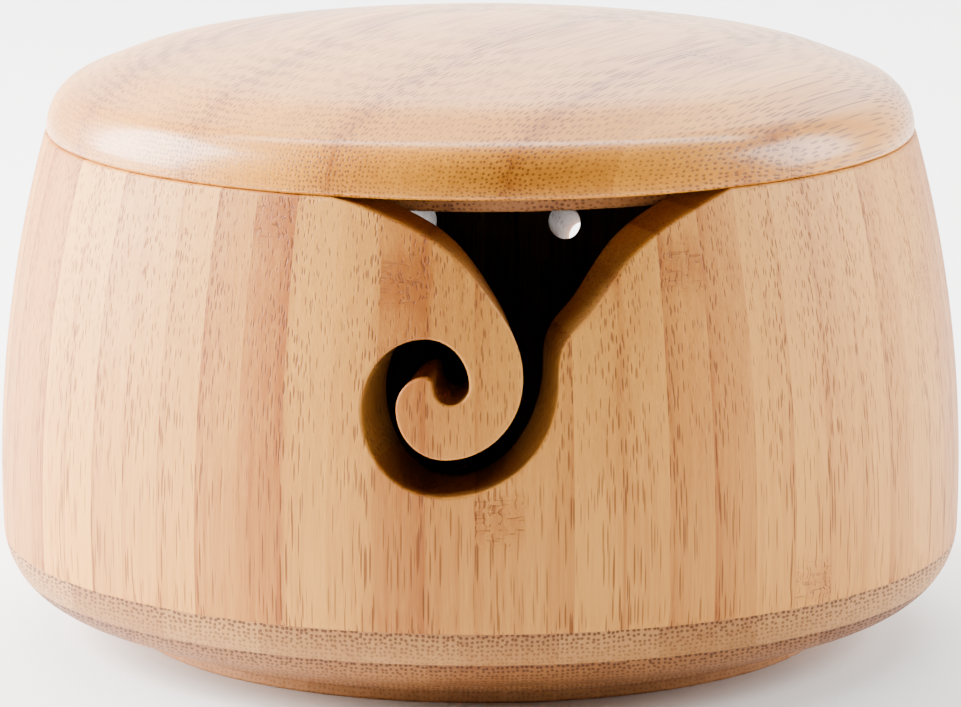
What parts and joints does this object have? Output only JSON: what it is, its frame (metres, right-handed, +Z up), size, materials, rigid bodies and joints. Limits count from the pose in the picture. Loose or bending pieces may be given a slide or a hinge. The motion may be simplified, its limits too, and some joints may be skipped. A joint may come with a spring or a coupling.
{
  "type": "yarn bowl",
  "caption": "Round bamboo yarn bowl with a domed lift-off lid, a scroll-shaped yarn slot opening at the rim, needle holes in the back and a turned foot ring.",
  "frame": {"origin": "centre of the foot ring on the table", "axes": "+Z up along the bowl's axis, -Y towards the scroll slot, +X to the right seen from the slot"},
  "size_m": [0.1796, 0.1796, 0.1137],
  "materials": {
    "wall_bamboo": "satin",
    "base_bamboo": "satin",
    "lid_bamboo": "gloss"
  },
  "bodies": {
    "bowl": {"wall_stave_01": "wall_bamboo", "wall_stave_02": "wall_bamboo", "wall_stave_03": "wall_bamboo", "wall_stave_04": "wall_bamboo", "wall_stave_05": "wall_bamboo", "wall_stave_06": "wall_bamboo", "wall_stave_07": "wall_bamboo", "wall_stave_08": "wall_bamboo", "wall_stave_09": "wall_bamboo", "wall_stave_10": "wall_bamboo", "wall_stave_11": "wall_bamboo", "wall_stave_12": "wall_bamboo", "wall_stave_13": "wall_bamboo", "wall_stave_14": "wall_bamboo", "wall_stave_15": "wall_bamboo", "wall_stave_16": "wall_bamboo", "wall_stave_17": "wall_bamboo", "wall_stave_18": "wall_bamboo", "wall_stave_19": "wall_bamboo", "wall_stave_20": "wall_bamboo", "wall_stave_21": "wall_bamboo", "wall_stave_22": "wall_bamboo", "wall_stave_23": "wall_bamboo", "wall_stave_24": "wall_bamboo", "wall_stave_25": "wall_bamboo", "wall_stave_26": "wall_bamboo", "wall_stave_27": "wall_bamboo", "wall_stave_28": "wall_bamboo", "wall_stave_29": "wall_bamboo", "wall_stave_30": "wall_bamboo", "wall_stave_31": "wall_bamboo", "wall_stave_32": "wall_bamboo", "base_ply_upper": "base_bamboo", "base_ply_middle": "base_bamboo", "foot_ply": "base_bamboo"},
    "lid": {"lid_strip_01": "lid_bamboo", "lid_strip_02": "lid_bamboo", "lid_strip_03": "lid_bamboo", "lid_strip_04": "lid_bamboo", "lid_strip_05": "lid_bamboo", "lid_strip_06": "lid_bamboo", "lid_strip_07": "lid_bamboo", "lid_strip_08": "lid_bamboo", "lid_strip_09": "lid_bamboo", "lid_strip_10": "lid_bamboo", "lid_strip_11": "lid_bamboo", "lid_spigot": "lid_bamboo"}
  },
  "joints": [
    {"name": "lid_lift", "type": "slide", "parent": "bowl", "child": "lid", "axis": [0, 0, 1], "range_m": [0, 0.12]}
  ]
}
